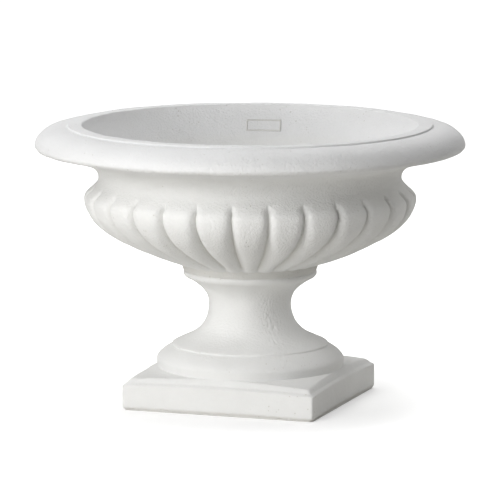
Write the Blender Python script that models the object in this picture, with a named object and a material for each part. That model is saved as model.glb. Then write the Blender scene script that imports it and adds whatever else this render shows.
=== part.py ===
"""Concrete garden urn planter: two castings, the bed between them and the tube that ties them.

Lengths are in metres and +Z is up. The square plinth stands on z = 0, centred on the urn's axis.
Every round piece is a loft of rings about that axis, and the plinth is a loft of rounded squares.
"""
import math

import bmesh
import bpy

# Gap kept between two pieces that touch on the real urn
TOUCH = 0.0003

# Plinth: square slab whose faces bow up a little along each side, above a rough bottom edge
PLINTH_SIDE = 0.2320
PLINTH_FACE_HEIGHT = 0.0286
PLINTH_CORNER_RADIUS = 0.0030
SIDE_BOW = 0.0030
BOTTOM_EDGE_HEIGHT = 0.0020
BOTTOM_EDGE_SETBACK = 0.0015
BOTTOM_CORNER_WEAR = 0.0050
SHOULDER_WIDTH = 0.0034
SHOULDER_RISE = 0.0024
RISER_WIDTH = 0.0052
PLINTH_TOP_RISE = 0.0125
PLINTH_TOP_PITCH = 0.109

# Foot: turned moulding, waisted stem and collar
TORUS_RADIUS = 0.1095
TORUS_BELT_HEIGHT = 0.0082
TORUS_BELT_TAPER = 0.0010
TORUS_ROUND_HEIGHT = 0.0165
TORUS_TOP_INSET = 0.0174
FILLET_INSET = 0.0010
FILLET_GROOVE = 0.0012
FILLET_HEIGHT = 0.0026
FLARE_HEIGHT = 0.0454
WAIST_RADIUS = 0.0485
STEM_TOP_HEIGHT = 0.0306
COLLAR_OVERHANG = 0.0025
COLLAR_UNDERCUT = 0.0020
COLLAR_HEIGHT = 0.0106

# Bowl: outside, from its seat on the collar up to the rim
SEAT_RADIUS = 0.0755
LOBE_END_WIDTH = 0.0050
LOBE_END_HEIGHT = 0.0027
BELLY_RADIUS = 0.1932
BELLY_HEIGHT = 0.0813
UNDERSIDE_PITCH = 0.335
SHOULDER_HEIGHT = 0.0224
NECK_RADIUS = 0.1760
COVE_WIDTH = 0.0480
COVE_RISE = 0.0290
LIP_UNDERSIDE_RISE = 0.0337
LIP_RADIUS = 0.2500
LIP_NOSE_WIDTH = 0.0028
LIP_NOSE_HEIGHT = 0.0035
OVOLO_HEIGHT = 0.0227
LAND_STEP = 0.0022
LAND_RADIUS = 0.2105
LAND_RISER_WIDTH = 0.0050
MOUTH_RADIUS = 0.1930
MOUTH_ROUND = 0.0020

# Bowl: gadroons, the convex lobes round the belly
LOBE_COUNT = 28
LOBE_DEPTH = 0.0090
LOBE_ROUNDNESS = 2.0
ARCH_SHARPNESS = 5.0

# Bowl: inside, from the mouth down to the drain
NECK_WALL = 0.0193
INSIDE_DRAFT = 0.0010
FLOOR_RADIUS = 0.0600
FLOOR_THICKNESS = 0.0280
FLOOR_FALL = 0.0010
WELL_RADIUS = 0.0330
WELL_FLOOR_THICKNESS = 0.0125

# Joint between the castings
SPIGOT_RADIUS = 0.0300
SPIGOT_DEPTH = 0.0120
SPIGOT_CLEARANCE = 0.0010
SPIGOT_END_GAP = 0.0020
BED_THICKNESS = 0.0020
BED_SETBACK = 0.0015

# Tie tube, which also drains the bowl, and its nuts and washers
TUBE_RADIUS = 0.0132
TUBE_WALL = 0.0032
TUBE_CHAMFER = 0.0008
TUBE_TOP_STANDOFF = 0.0010
TUBE_LOWER_STANDOFF = 0.0030
BORE_CLEARANCE = 0.0013
RECESS_CLEARANCE = 0.0020
RECESS_DEPTH = 0.0240
NUT_ACROSS_FLATS = 0.0360
NUT_THICKNESS = 0.0070
NUT_CHAMFER = 0.0014
WASHER_THICKNESS = 0.0025
UPPER_WASHER_RADIUS = 0.0260
LOWER_WASHER_RADIUS = 0.0225
SEAL_RADIUS = 0.0290
SEAL_THICKNESS = 0.0030

# Rubber drain plug, which pulls up out of the tube
PLUG_CLEARANCE = 0.0004
PLUG_TAPER = 0.0008
PLUG_DEPTH = 0.0160
PLUG_FLANGE_OVERHANG = 0.0020
PLUG_FLANGE_THICKNESS = 0.0030
PLUG_NECK_RADIUS = 0.0045
PLUG_NECK_HEIGHT = 0.0040
PLUG_KNOB_RADIUS = 0.0080
PLUG_KNOB_HEIGHT = 0.0090

# Columns round a ring: the lobes need more than plain turned shapes do
COLUMNS_PER_LOBE = 6
BOWL_COLUMNS = LOBE_COUNT * 3
WELL_COLUMNS = LOBE_COUNT
FOOT_COLUMNS = 48
BED_COLUMNS = 36
SMALL_COLUMNS = 24
CORNER_STEPS = 2
SIDE_STEPS = 8

# Heights that follow from the sizes above, measured from the ground
TORUS_FOOT_Z = PLINTH_FACE_HEIGHT + PLINTH_TOP_RISE
TORUS_WIDEST_Z = TORUS_FOOT_Z + TORUS_BELT_HEIGHT
TORUS_TOP_Z = TORUS_WIDEST_Z + TORUS_ROUND_HEIGHT
FILLET_TOP_Z = TORUS_TOP_Z + FILLET_HEIGHT
WAIST_Z = FILLET_TOP_Z + FLARE_HEIGHT
COLLAR_Z = WAIST_Z + STEM_TOP_HEIGHT
FOOT_TOP_Z = COLLAR_Z + COLLAR_HEIGHT
SEAT_Z = FOOT_TOP_Z + BED_THICKNESS + 2 * TOUCH
WELL_Z = SEAT_Z + WELL_FLOOR_THICKNESS
SEAL_Z = WELL_Z + TOUCH
UPPER_WASHER_Z = SEAL_Z + SEAL_THICKNESS + TOUCH
UPPER_NUT_Z = UPPER_WASHER_Z + WASHER_THICKNESS + TOUCH
TUBE_TOP_Z = UPPER_NUT_Z + NUT_THICKNESS + TUBE_TOP_STANDOFF
LOWER_WASHER_Z = RECESS_DEPTH - TOUCH - WASHER_THICKNESS
LOWER_NUT_Z = LOWER_WASHER_Z - TOUCH - NUT_THICKNESS
TUBE_BOTTOM_Z = LOWER_NUT_Z - TUBE_LOWER_STANDOFF
PLUG_Z = TUBE_TOP_Z + TOUCH

# Radii that follow from the sizes above
BORE_RADIUS = TUBE_RADIUS + BORE_CLEARANCE
HOLE_RADIUS = TUBE_RADIUS + TOUCH
TUBE_BORE_RADIUS = TUBE_RADIUS - TUBE_WALL
SOCKET_RADIUS = SPIGOT_RADIUS + SPIGOT_CLEARANCE
RECESS_RADIUS = LOWER_WASHER_RADIUS + RECESS_CLEARANCE


def clear_scene():
    """Remove what the scene holds, so that the model starts from nothing."""
    for old in list(bpy.data.objects):
        bpy.data.objects.remove(old, do_unlink=True)


def make_material(name, colour, roughness, metallic=0.0):
    """Return a plain Principled material."""
    material = bpy.data.materials.new(name)
    material.use_nodes = True
    shader = material.node_tree.nodes["Principled BSDF"]
    shader.inputs["Base Color"].default_value = (*colour, 1.0)
    shader.inputs["Roughness"].default_value = roughness
    shader.inputs["Metallic"].default_value = metallic
    material.diffuse_color = (*colour, 1.0)
    return material


def bezier(start, start_handle, end_handle, end, steps):
    """Return the points of a cubic curve, without its last point."""
    points = []
    for step in range(steps):
        t = step / steps
        s = 1.0 - t
        weights = (s ** 3, 3 * s * s * t, 3 * s * t * t, t ** 3)
        corners = (start, start_handle, end_handle, end)
        points.append(tuple(sum(w * c[axis] for w, c in zip(weights, corners)) for axis in (0, 1)))
    return points


def circle_ring(bm, radius, z, columns):
    """Add a circle of vertices, or a single vertex where the radius is nothing."""
    if radius == 0.0:
        return [bm.verts.new((0.0, 0.0, z))]
    turn = 2 * math.pi / columns
    return [
        bm.verts.new((radius * math.cos(turn * i), radius * math.sin(turn * i), z))
        for i in range(columns)
    ]


def square_ring(bm, half_side, corner_radius, height):
    """Add a square of vertices with round corners, where height(x, y) gives each one's z."""
    centre = half_side - corner_radius
    quarter = [
        (centre + corner_radius * math.cos(angle), centre + corner_radius * math.sin(angle))
        for angle in (math.pi / 2 * step / CORNER_STEPS for step in range(CORNER_STEPS + 1))
    ]
    for step in range(1, SIDE_STEPS):
        quarter.append((centre - 2 * centre * step / SIDE_STEPS, half_side))
    ring = []
    for corner in range(4):
        turn_cos = round(math.cos(corner * math.pi / 2))
        turn_sin = round(math.sin(corner * math.pi / 2))
        for u, v in quarter:
            x = u * turn_cos - v * turn_sin
            y = u * turn_sin + v * turn_cos
            ring.append(bm.verts.new((x, y, height(x, y))))
    return ring


def hexagon_ring(bm, across_flats, largest_radius, z, columns):
    """Add a hexagon of vertices, cut back to a circle where it would reach past it."""
    ring = []
    for i in range(columns):
        angle = 2 * math.pi * i / columns
        off_flat = (angle + math.pi / 6) % (math.pi / 3) - math.pi / 6
        radius = min(across_flats / 2 / math.cos(math.pi / 6 - abs(off_flat)), largest_radius)
        ring.append(bm.verts.new((radius * math.cos(angle), radius * math.sin(angle), z)))
    return ring


def skin(bm, lower, upper):
    """Join two rings with faces; one ring may have a whole number of times more columns."""
    if len(lower) < len(upper):
        lower, upper = upper, lower
    count = len(lower)
    share = count // len(upper)
    for i, corner in enumerate(upper):
        following = upper[(i + 1) % len(upper)]
        if share == 1:
            bm.faces.new((lower[i], lower[(i + 1) % count], following, corner))
            continue
        first = i * share - share // 2
        for k in range(first, first + share):
            bm.faces.new((lower[k % count], lower[(k + 1) % count], corner))
        if following is not corner:
            bm.faces.new((lower[(first + share) % count], following, corner))


def loft(bm, rings, closed):
    """Skin a run of rings, and join the last to the first where the section is closed."""
    for lower, upper in zip(rings, rings[1:]):
        skin(bm, lower, upper)
    if closed:
        skin(bm, rings[-1], rings[0])


def finish(bm, name, material):
    """Turn the faces outwards, and make the mesh an object of its own."""
    bmesh.ops.recalc_face_normals(bm, faces=bm.faces[:])
    mesh = bpy.data.meshes.new(name)
    bm.to_mesh(mesh)
    bm.free()
    mesh.materials.append(material)
    mesh.shade_smooth()
    mesh.set_sharp_from_angle(angle=math.radians(32))
    piece = bpy.data.objects.new(name, mesh)
    bpy.context.collection.objects.link(piece)
    return piece


def turned_piece(name, section, columns, material, closed=True):
    """Make a round piece from its section, a list of (radius, height) corners."""
    bm = bmesh.new()
    loft(bm, [circle_ring(bm, radius, z, columns) for radius, z in section], closed)
    return finish(bm, name, material)


def outward_normals(points):
    """Return the outward normal at each point of a section that runs upwards on its outside."""
    normals = []
    for i in range(len(points)):
        before = points[max(i - 1, 0)]
        after = points[min(i + 1, len(points) - 1)]
        dr = after[0] - before[0]
        dz = after[1] - before[1]
        length = math.hypot(dr, dz)
        normals.append((dz / length, -dr / length))
    return normals


def lobed_ring(bm, point, normal, depth, roundness):
    """Add one ring of the gadroons: the grooves between the lobes sink in along the normal."""
    columns = LOBE_COUNT * COLUMNS_PER_LOBE
    ring = []
    for i in range(columns):
        angle = 2 * math.pi * i / columns
        across = abs(2 * (i % COLUMNS_PER_LOBE) / COLUMNS_PER_LOBE - 1)
        sink = depth * across ** roundness
        radius = point[0] - normal[0] * sink
        z = point[1] - normal[1] * sink
        ring.append(bm.verts.new((radius * math.cos(angle), radius * math.sin(angle), z)))
    return ring


def lobed_section():
    """Return the gadroons' outline from the seat to the arch tops, with each ring's depth."""
    end = (SEAT_RADIUS + LOBE_END_WIDTH, LOBE_END_HEIGHT)
    belly = (BELLY_RADIUS, BELLY_HEIGHT)
    reach = 0.71 * (belly[0] - end[0])
    lobe_end = bezier(
        (SEAT_RADIUS, 0.0),
        (SEAT_RADIUS, LOBE_END_HEIGHT / 2),
        (end[0] - LOBE_END_WIDTH / 2, end[1] - UNDERSIDE_PITCH * LOBE_END_WIDTH / 2),
        end, 2)
    underside = bezier(
        end,
        (end[0] + reach, end[1] + UNDERSIDE_PITCH * reach),
        (belly[0], belly[1] - 0.38 * (belly[1] - end[1])),
        belly, 7)
    shoulder = shoulder_curve()
    points = lobe_end + underside + shoulder[:4]
    shares = [0.0, 0.6] + [1.0] * 9 + [0.75, 0.0]
    sharpness = [LOBE_ROUNDNESS] * 11 + [ARCH_SHARPNESS] * 2
    return points, shares, sharpness


def shoulder_curve():
    """Return the outline from the belly up to the neck; the arch tops end half way."""
    neck = (NECK_RADIUS, BELLY_HEIGHT + SHOULDER_HEIGHT)
    return bezier(
        (BELLY_RADIUS, BELLY_HEIGHT),
        (BELLY_RADIUS, BELLY_HEIGHT + 0.32 * SHOULDER_HEIGHT),
        (neck[0], neck[1] - 0.43 * SHOULDER_HEIGHT),
        neck, 6)


def rim_section():
    """Return the plain outline from above the arch tops, over the rim, to the bowl's floor."""
    neck = (NECK_RADIUS, BELLY_HEIGHT + SHOULDER_HEIGHT)
    cove_edge = (neck[0] + COVE_WIDTH, neck[1] + COVE_RISE)
    lip_edge = (LIP_RADIUS - LIP_NOSE_WIDTH, neck[1] + LIP_UNDERSIDE_RISE)
    nose_z = lip_edge[1] + LIP_NOSE_HEIGHT
    ovolo_foot = LAND_RADIUS + LAND_RISER_WIDTH
    ovolo_top = nose_z + OVOLO_HEIGHT
    land_z = ovolo_top + LAND_STEP
    inner_neck = (NECK_RADIUS - NECK_WALL, neck[1])
    points = shoulder_curve()[4:]
    points += bezier(
        neck,
        (neck[0], neck[1] + 0.62 * COVE_RISE),
        (neck[0] + 0.5 * COVE_WIDTH, neck[1] + 0.72 * COVE_RISE),
        cove_edge, 4)
    points += [cove_edge, lip_edge]
    points += bezier(
        (LIP_RADIUS, nose_z),
        (LIP_RADIUS, nose_z + 0.48 * OVOLO_HEIGHT),
        (ovolo_foot + 0.66 * (LIP_RADIUS - ovolo_foot), ovolo_top),
        (ovolo_foot, ovolo_top), 6)
    points += [
        (ovolo_foot, ovolo_top),
        (LAND_RADIUS + 0.4 * LAND_RISER_WIDTH, ovolo_top + 0.1 * LAND_STEP),
        (LAND_RADIUS + 0.2 * LAND_RISER_WIDTH, land_z - 0.25 * LAND_STEP),
        (LAND_RADIUS, land_z),
        (MOUTH_RADIUS + MOUTH_ROUND, land_z),
        (MOUTH_RADIUS + 0.2 * MOUTH_ROUND, land_z - 0.4 * MOUTH_ROUND),
    ]
    mouth = (MOUTH_RADIUS, land_z - MOUTH_ROUND)
    depth = mouth[1] - inner_neck[1]
    points += bezier(
        mouth,
        (mouth[0] - 0.12 * (mouth[0] - inner_neck[0]), mouth[1] - 0.3 * depth),
        (inner_neck[0] + 2 * INSIDE_DRAFT, inner_neck[1] + 0.34 * depth),
        inner_neck, 3)
    floor = (FLOOR_RADIUS, FLOOR_THICKNESS + FLOOR_FALL)
    hollow = inner_neck[1] - floor[1]
    points += bezier(
        inner_neck,
        (inner_neck[0] - INSIDE_DRAFT, inner_neck[1] - 0.62 * hollow),
        (floor[0] + 0.68 * (inner_neck[0] - floor[0]), floor[1]),
        floor, 5)
    points.append(floor)
    return points


def make_bowl(material):
    """Cast the bowl: gadroons outside, a rolled rim, a smooth inside and a spigot below."""
    bm = bmesh.new()
    points, shares, sharpness = lobed_section()
    normals = outward_normals(points)
    rings = []
    for point, normal, share, roundness in zip(points, normals, shares, sharpness):
        depth = LOBE_DEPTH * share * point[0] / BELLY_RADIUS
        rings.append(lobed_ring(bm, point, normal, depth, roundness))
    rings += [circle_ring(bm, radius, z, BOWL_COLUMNS) for radius, z in rim_section()]
    drain_section = [
        (WELL_RADIUS, FLOOR_THICKNESS),
        (WELL_RADIUS, WELL_FLOOR_THICKNESS),
        (BORE_RADIUS, WELL_FLOOR_THICKNESS),
        (BORE_RADIUS, -SPIGOT_DEPTH),
        (SPIGOT_RADIUS, -SPIGOT_DEPTH),
        (SPIGOT_RADIUS, 0.0),
    ]
    rings += [circle_ring(bm, radius, z, WELL_COLUMNS) for radius, z in drain_section]
    loft(bm, rings, closed=True)
    # Cutting each quad across its shorter diagonal keeps both sides of a lobe alike
    bmesh.ops.triangulate(bm, faces=bm.faces[:], quad_method="SHORT_EDGE")
    bowl = finish(bm, "bowl", material)
    bowl.location.z = SEAT_Z
    return bowl


def foot_outline():
    """Return the turned foot's outline, from inside the plinth up to the collar's top."""
    groove_radius = TORUS_RADIUS - TORUS_TOP_INSET - FILLET_GROOVE
    fillet_radius = TORUS_RADIUS - TORUS_TOP_INSET - FILLET_INSET
    flare_radius = fillet_radius - FILLET_INSET
    under_collar = SEAT_RADIUS - COLLAR_UNDERCUT
    collar_radius = SEAT_RADIUS + COLLAR_OVERHANG
    round_width = TORUS_RADIUS - groove_radius
    points = [
        (TORUS_RADIUS - TORUS_BELT_TAPER, PLINTH_FACE_HEIGHT / 2),
        (TORUS_RADIUS - TORUS_BELT_TAPER, TORUS_FOOT_Z),
    ]
    points += bezier(
        (TORUS_RADIUS, TORUS_WIDEST_Z),
        (TORUS_RADIUS, TORUS_WIDEST_Z + 0.31 * TORUS_ROUND_HEIGHT),
        (TORUS_RADIUS - 0.49 * round_width, TORUS_TOP_Z - 0.285 * TORUS_ROUND_HEIGHT),
        (groove_radius, TORUS_TOP_Z), 4)
    points += [
        (groove_radius, TORUS_TOP_Z),
        (fillet_radius, TORUS_TOP_Z + 0.3 * FILLET_HEIGHT),
        (fillet_radius, TORUS_TOP_Z + 0.7 * FILLET_HEIGHT),
    ]
    points += bezier(
        (flare_radius, FILLET_TOP_Z),
        (flare_radius - 0.34 * (flare_radius - WAIST_RADIUS), FILLET_TOP_Z + 0.15 * FLARE_HEIGHT),
        (WAIST_RADIUS, WAIST_Z - 0.71 * FLARE_HEIGHT),
        (WAIST_RADIUS, WAIST_Z), 6)
    points += bezier(
        (WAIST_RADIUS, WAIST_Z),
        (WAIST_RADIUS, WAIST_Z + 0.45 * STEM_TOP_HEIGHT),
        (WAIST_RADIUS + 0.35 * (under_collar - WAIST_RADIUS), WAIST_Z + 0.7 * STEM_TOP_HEIGHT),
        (under_collar, COLLAR_Z), 5)
    points += [
        (under_collar, COLLAR_Z),
        (SEAT_RADIUS, COLLAR_Z + 0.08 * COLLAR_HEIGHT),
        (collar_radius, COLLAR_Z + 0.38 * COLLAR_HEIGHT),
        (collar_radius, COLLAR_Z + 0.62 * COLLAR_HEIGHT),
        (SEAT_RADIUS, FOOT_TOP_Z),
    ]
    return points


def add_boolean(piece, other, operation):
    """Add an exact Boolean to a piece, and keep the other object out of the model."""
    modifier = piece.modifiers.new(operation.lower() + "_" + other.name, "BOOLEAN")
    modifier.operation = operation
    modifier.object = other
    modifier.solver = "EXACT"
    other.hide_render = True
    other.display_type = "WIRE"


def ground_height(x, y):
    """Return the height of the plinth's flat underside."""
    return 0.0


def bow_height(x, y):
    """Return how far a side's lines are bowed up here: most half way along, nothing at a corner."""
    along = min(abs(x), abs(y)) / (PLINTH_SIDE / 2)
    return SIDE_BOW * (1 - along ** 2)


def bottom_edge_height(x, y):
    """Return the height of the lower edge of the plinth's vertical face."""
    return BOTTOM_EDGE_HEIGHT + bow_height(x, y)


def face_height(x, y):
    """Return the height of the upper edge of the plinth's vertical face."""
    return PLINTH_FACE_HEIGHT + bow_height(x, y)


def shoulder_height(x, y):
    """Return the height of the crease between the face's soft shoulder and the riser."""
    return face_height(x, y) + SHOULDER_RISE


def top_height(x, y):
    """Return the height of the plinth's top, which falls like a cone away from the torus."""
    return TORUS_FOOT_Z - PLINTH_TOP_PITCH * (math.hypot(x, y) - TORUS_RADIUS)


def riser_height(x, y):
    """Return the height where the riser starts to round over on to the top."""
    return 0.2 * shoulder_height(x, y) + 0.8 * top_height(x, y)


def make_plinth_block(material):
    """Make the square slab: rough bottom edge, bowed face, shoulder, riser and conical top."""
    half = PLINTH_SIDE / 2
    crease = half - SHOULDER_WIDTH
    inner = crease - RISER_WIDTH
    hidden = TORUS_RADIUS / math.sqrt(2) - PLINTH_CORNER_RADIUS
    bottom_corner = PLINTH_CORNER_RADIUS + BOTTOM_CORNER_WEAR
    levels = [
        (half - BOTTOM_EDGE_SETBACK, bottom_corner, ground_height),
        (half, PLINTH_CORNER_RADIUS, bottom_edge_height),
        (half, PLINTH_CORNER_RADIUS, face_height),
        (crease, PLINTH_CORNER_RADIUS, shoulder_height),
        (crease - 0.7 * RISER_WIDTH, PLINTH_CORNER_RADIUS, riser_height),
        (inner, PLINTH_CORNER_RADIUS, top_height),
        (hidden, PLINTH_CORNER_RADIUS, top_height),
    ]
    bm = bmesh.new()
    rings = [square_ring(bm, size, corner, height) for size, corner, height in levels]
    loft(bm, rings, closed=False)
    for ring, level in ((rings[0], 0.0), (rings[-1], TORUS_FOOT_Z)):
        centre = [bm.verts.new((0.0, 0.0, level))]
        skin(bm, ring, centre)
    return finish(bm, "plinth_block", material)


def make_foot(material):
    """Cast the foot: the turned stem joined to the plinth, bored and recessed for the tie tube."""
    outline = foot_outline()
    bm = bmesh.new()
    rings = [circle_ring(bm, radius, z, FOOT_COLUMNS) for radius, z in outline]
    loft(bm, rings, closed=False)
    bm.faces.new(reversed(rings[0]))
    bm.faces.new(rings[-1])
    foot = finish(bm, "foot", material)
    add_boolean(foot, make_plinth_block(material), "UNION")
    beyond = SPIGOT_DEPTH
    socket_z = FOOT_TOP_Z - SPIGOT_DEPTH + (SEAT_Z - FOOT_TOP_Z) - SPIGOT_END_GAP
    core_section = [
        (0.0, FOOT_TOP_Z + beyond),
        (SOCKET_RADIUS, FOOT_TOP_Z + beyond),
        (SOCKET_RADIUS, socket_z),
        (BORE_RADIUS, socket_z),
        (BORE_RADIUS, RECESS_DEPTH),
        (RECESS_RADIUS, RECESS_DEPTH),
        (RECESS_RADIUS, -beyond),
        (0.0, -beyond),
    ]
    core = turned_piece("foot_core", core_section, SMALL_COLUMNS, material, closed=False)
    add_boolean(foot, core, "DIFFERENCE")
    return foot


def make_bedding_ring(material):
    """Make the thin bed of mortar that levels the bowl on the collar."""
    inner = SOCKET_RADIUS + SPIGOT_CLEARANCE
    outer = SEAT_RADIUS - BED_SETBACK
    bottom = FOOT_TOP_Z + TOUCH
    top = bottom + BED_THICKNESS
    section = [(inner, bottom), (outer, bottom), (outer, top), (inner, top)]
    return turned_piece("bedding_ring", section, BED_COLUMNS, material)


def make_washer(name, outer, thickness, z, material):
    """Make a flat ring round the tie tube, with its lowest face at z."""
    section = [(HOLE_RADIUS, z), (outer, z), (outer, z + thickness), (HOLE_RADIUS, z + thickness)]
    return turned_piece(name, section, SMALL_COLUMNS, material)


def make_nut(name, z, material):
    """Make a hexagon nut with chamfered corners, with its lowest face at z."""
    chamfer_radius = NUT_ACROSS_FLATS / 2 - NUT_CHAMFER / 2
    corner_radius = NUT_ACROSS_FLATS
    top = z + NUT_THICKNESS
    bm = bmesh.new()
    rings = [circle_ring(bm, HOLE_RADIUS, z, SMALL_COLUMNS)]
    outside = [
        (chamfer_radius, z),
        (corner_radius, z + NUT_CHAMFER),
        (corner_radius, top - NUT_CHAMFER),
        (chamfer_radius, top),
    ]
    for limit, level in outside:
        rings.append(hexagon_ring(bm, NUT_ACROSS_FLATS, limit, level, SMALL_COLUMNS))
    rings.append(circle_ring(bm, HOLE_RADIUS, top, SMALL_COLUMNS))
    loft(bm, rings, closed=True)
    return finish(bm, name, material)


def make_tie_tube(material):
    """Make the threaded tube that clamps the castings together and drains the bowl."""
    section = [
        (TUBE_BORE_RADIUS, TUBE_BOTTOM_Z),
        (TUBE_RADIUS - TUBE_CHAMFER, TUBE_BOTTOM_Z),
        (TUBE_RADIUS, TUBE_BOTTOM_Z + TUBE_CHAMFER),
        (TUBE_RADIUS, TUBE_TOP_Z - TUBE_CHAMFER),
        (TUBE_RADIUS - TUBE_CHAMFER, TUBE_TOP_Z),
        (TUBE_BORE_RADIUS, TUBE_TOP_Z),
    ]
    return turned_piece("tie_tube", section, SMALL_COLUMNS, material)


def make_drain_plug(material):
    """Make the rubber stopper: a tapered body, a flange that stops on the tube, and a knob."""
    body_radius = TUBE_BORE_RADIUS - PLUG_CLEARANCE
    flange_radius = TUBE_RADIUS + PLUG_FLANGE_OVERHANG
    neck_z = PLUG_FLANGE_THICKNESS
    knob_z = neck_z + PLUG_NECK_HEIGHT
    top_z = knob_z + PLUG_KNOB_HEIGHT
    section = [
        (0.0, -PLUG_DEPTH),
        (body_radius - PLUG_TAPER - TUBE_CHAMFER, -PLUG_DEPTH),
        (body_radius - PLUG_TAPER, TUBE_CHAMFER - PLUG_DEPTH),
        (body_radius, 0.0),
        (flange_radius, 0.0),
        (flange_radius, 0.6 * PLUG_FLANGE_THICKNESS),
        (flange_radius - 0.4 * PLUG_FLANGE_THICKNESS, neck_z),
        (PLUG_NECK_RADIUS, neck_z),
        (PLUG_NECK_RADIUS, knob_z),
        (PLUG_KNOB_RADIUS, knob_z + 0.3 * PLUG_KNOB_HEIGHT),
        (PLUG_KNOB_RADIUS, knob_z + 0.6 * PLUG_KNOB_HEIGHT),
        (0.7 * PLUG_KNOB_RADIUS, top_z - 0.08 * PLUG_KNOB_HEIGHT),
        (0.0, top_z),
    ]
    plug = turned_piece("drain_plug", section, SMALL_COLUMNS, material, closed=False)
    plug.location.z = PLUG_Z
    return plug


def main():
    """Build the whole planter."""
    clear_scene()
    concrete = make_material("white_concrete", (0.80, 0.79, 0.76), 0.92)
    mortar = make_material("bedding_mortar", (0.62, 0.61, 0.58), 0.95)
    steel = make_material("zinc_plated_steel", (0.60, 0.61, 0.62), 0.38, 1.0)
    rubber = make_material("black_rubber", (0.03, 0.03, 0.03), 0.70)
    make_foot(concrete)
    make_bedding_ring(mortar)
    make_bowl(concrete)
    make_tie_tube(steel)
    make_washer("sealing_washer", SEAL_RADIUS, SEAL_THICKNESS, SEAL_Z, rubber)
    make_washer("upper_washer", UPPER_WASHER_RADIUS, WASHER_THICKNESS, UPPER_WASHER_Z, steel)
    make_nut("upper_nut", UPPER_NUT_Z, steel)
    make_washer("lower_washer", LOWER_WASHER_RADIUS, WASHER_THICKNESS, LOWER_WASHER_Z, steel)
    make_nut("lower_nut", LOWER_NUT_Z, steel)
    make_drain_plug(rubber)


main()
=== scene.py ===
# %% [markdown]
# # A white concrete garden urn
#
# The real urn is two concrete castings: a wide bowl whose belly is ribbed with convex lobes
# (gadroons), and a waisted foot on a square plinth. A threaded steel tube clamps them together
# through a bed of mortar, and the same tube drains the bowl. A rubber plug closes it.
#
# The frame already holds every piece at its true size, as plain faceted solids. This lesson dresses
# it: each casting is made again as a fine mesh on the same outline, with the small unevenness that
# hand casting leaves, and every surface gets a finish made from procedural nodes.

# %% Load the frame
import math

import bpy
import numpy as np
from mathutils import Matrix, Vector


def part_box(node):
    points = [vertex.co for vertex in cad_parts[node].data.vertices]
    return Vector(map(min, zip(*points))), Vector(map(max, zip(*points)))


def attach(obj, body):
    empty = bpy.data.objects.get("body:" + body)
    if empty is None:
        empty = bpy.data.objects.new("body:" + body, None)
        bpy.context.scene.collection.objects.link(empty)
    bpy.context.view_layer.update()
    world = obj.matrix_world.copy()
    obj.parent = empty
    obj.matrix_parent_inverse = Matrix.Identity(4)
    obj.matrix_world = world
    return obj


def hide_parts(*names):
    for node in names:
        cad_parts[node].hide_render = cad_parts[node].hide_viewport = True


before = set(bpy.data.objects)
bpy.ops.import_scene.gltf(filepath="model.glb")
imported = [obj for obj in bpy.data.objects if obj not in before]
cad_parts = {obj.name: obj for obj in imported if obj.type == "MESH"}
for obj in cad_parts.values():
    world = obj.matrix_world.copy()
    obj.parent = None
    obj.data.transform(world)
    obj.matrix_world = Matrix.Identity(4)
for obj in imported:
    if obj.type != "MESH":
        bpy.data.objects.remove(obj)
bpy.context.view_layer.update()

# %% [markdown]
# ## Sizes
#
# Places come from the frame, so the fine meshes can't drift away from the solids that they stand
# for. The sizes of the mouldings are the urn's own driving sizes, in metres.

# %% Places read from the frame
bowl_low, bowl_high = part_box("bowl")
foot_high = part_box("foot")[1]
tube_low, tube_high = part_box("tie_tube")
plug_low, plug_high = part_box("drain_plug")
rim_radius = bowl_high.x
rim_top = bowl_high.z
foot_top = foot_high.z
plinth_half = foot_high.x
tube_radius = tube_high.x
print(f"rim {2000 * rim_radius:.0f} mm across, top at {1000 * rim_top:.1f} mm")

# %% Sizes of the plinth
FACE_HEIGHT = 0.0286
CORNER_RADIUS = 0.0030
SIDE_BOW = 0.0030
BOTTOM_EDGE_HEIGHT = 0.0020
BOTTOM_EDGE_SETBACK = 0.0015
BOTTOM_CORNER_WEAR = 0.0050
SHOULDER_WIDTH = 0.0034
SHOULDER_RISE = 0.0024
RISER_WIDTH = 0.0052
TOP_RISE = 0.0125
TOP_PITCH = 0.109
torus_foot_z = FACE_HEIGHT + TOP_RISE

# %% Sizes of the turned foot
TORUS_RADIUS = 0.1095
TORUS_BELT_HEIGHT = 0.0082
TORUS_BELT_TAPER = 0.0010
TORUS_ROUND_HEIGHT = 0.0165
TORUS_TOP_INSET = 0.0174
FILLET_INSET = 0.0010
FILLET_GROOVE = 0.0012
FILLET_HEIGHT = 0.0026
FLARE_HEIGHT = 0.0454
WAIST_RADIUS = 0.0485
STEM_TOP_HEIGHT = 0.0306
SEAT_RADIUS = 0.0755
COLLAR_OVERHANG = 0.0025
COLLAR_UNDERCUT = 0.0020
COLLAR_HEIGHT = 0.0106

# %% Sizes of the bowl
SPIGOT_DEPTH = 0.0120
SPIGOT_RADIUS = 0.0300
LOBE_END_WIDTH = 0.0050
LOBE_END_HEIGHT = 0.0027
BELLY_RADIUS = 0.1932
BELLY_HEIGHT = 0.0813
UNDERSIDE_PITCH = 0.335
SHOULDER_HEIGHT = 0.0224
NECK_RADIUS = 0.1760
COVE_WIDTH = 0.0480
COVE_RISE = 0.0290
LIP_UNDERSIDE_RISE = 0.0337
LIP_NOSE_WIDTH = 0.0028
LIP_NOSE_HEIGHT = 0.0035
OVOLO_HEIGHT = 0.0227
LAND_STEP = 0.0022
LAND_RADIUS = 0.2105
LAND_RISER_WIDTH = 0.0050
MOUTH_RADIUS = 0.1930
MOUTH_ROUND = 0.0020
NECK_WALL = 0.0193
FLOOR_RADIUS = 0.0600
FLOOR_THICKNESS = 0.0280
WELL_RADIUS = 0.0330
WELL_FLOOR = 0.0125
FLOOR_FALL = 0.0010
WELL_ROUND = 0.0010
LOBE_COUNT = 28
LOBE_DEPTH = 0.0104
LOBE_END_FADE = 0.0150
LOBE_HEAD_RISE = 0.0155
LOBE_HEAD_LENGTH = 0.0075
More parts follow.
